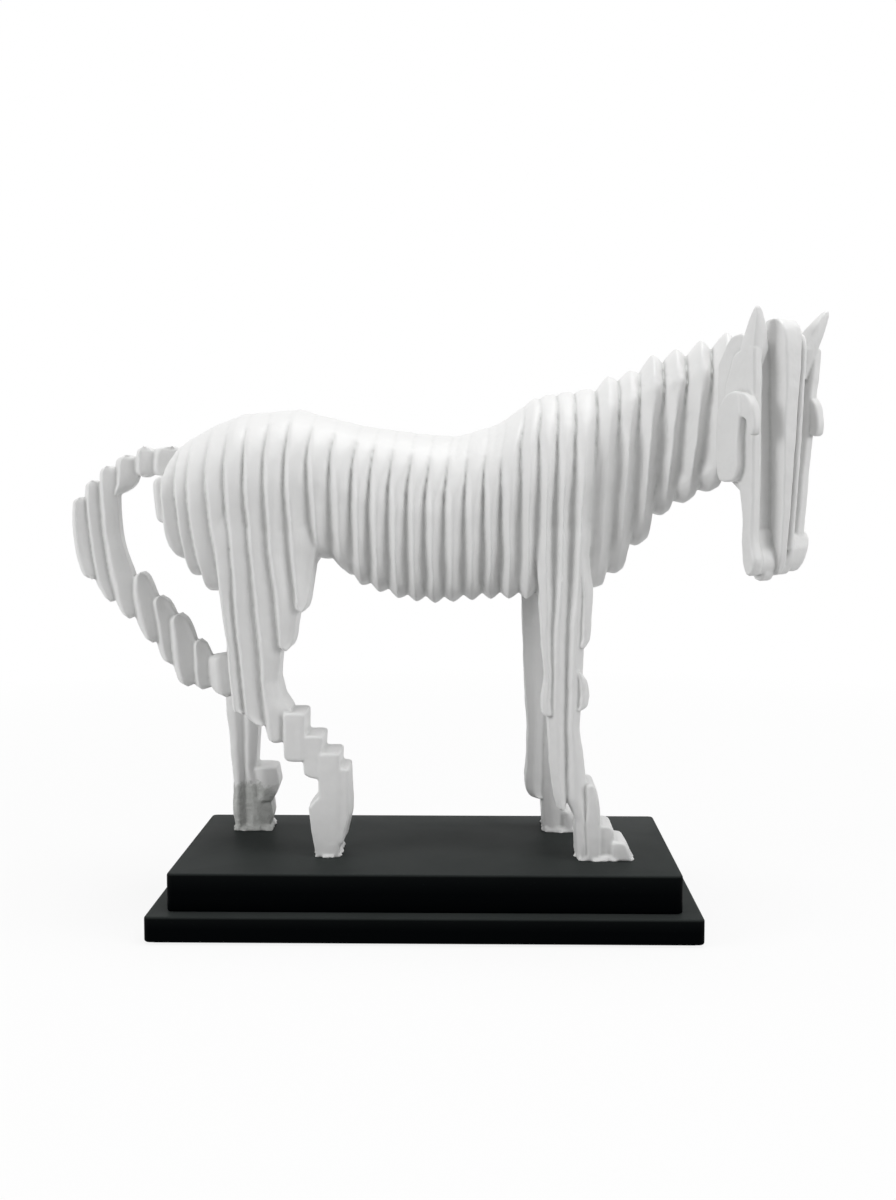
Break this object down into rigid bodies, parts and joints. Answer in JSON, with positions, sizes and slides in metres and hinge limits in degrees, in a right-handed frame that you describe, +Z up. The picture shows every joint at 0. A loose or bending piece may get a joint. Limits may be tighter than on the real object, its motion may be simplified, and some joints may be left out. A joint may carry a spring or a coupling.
{
  "type": "horse figurine",
  "caption": "Standing horse ornament in white cast resin, shaped as stacked upright slices, with its head turned to the side, on a stepped black plinth.",
  "frame": {"origin": "centre of the underside of the felt, on the surface that the plinth stands on", "axes": "+X along the plinth towards the horse's chest, +Y towards the horse's left side, +Z up"},
  "size_m": [0.3637, 0.148, 0.2924],
  "materials": {
    "white_resin": "cast resin sprayed satin white",
    "black_lacquer": "satin black lacquer on fibreboard",
    "steel": "zinc-plated steel",
    "felt": "black felt"
  },
  "bodies": {
    "root": {"trunk": "white_resin", "neck": "white_resin", "head": "white_resin", "tail": "white_resin", "right_hind_leg": "white_resin", "left_hind_leg": "white_resin", "right_fore_leg": "white_resin", "left_fore_leg": "white_resin", "neck_pin_upper": "steel", "neck_pin_lower": "steel", "head_pin": "steel", "tail_root_pin": "steel", "tail_tip_pin": "steel", "right_hind_pin": "steel", "left_hind_pin": "steel", "right_fore_pin": "steel", "left_fore_pin": "steel", "right_hind_stud": "steel", "left_hind_stud": "steel", "right_fore_stud": "steel", "left_fore_stud": "steel", "right_hind_washer": "steel", "left_hind_washer": "steel", "right_fore_washer": "steel", "left_fore_washer": "steel", "right_hind_nut": "steel", "left_hind_nut": "steel", "right_fore_nut": "steel", "left_fore_nut": "steel", "upper_tier": "black_lacquer", "lower_tier": "black_lacquer", "felt_sheet": "felt", "tier_screw_1": "steel", "tier_screw_2": "steel", "tier_screw_3": "steel", "tier_screw_4": "steel"}
  },
  "joints": []
}
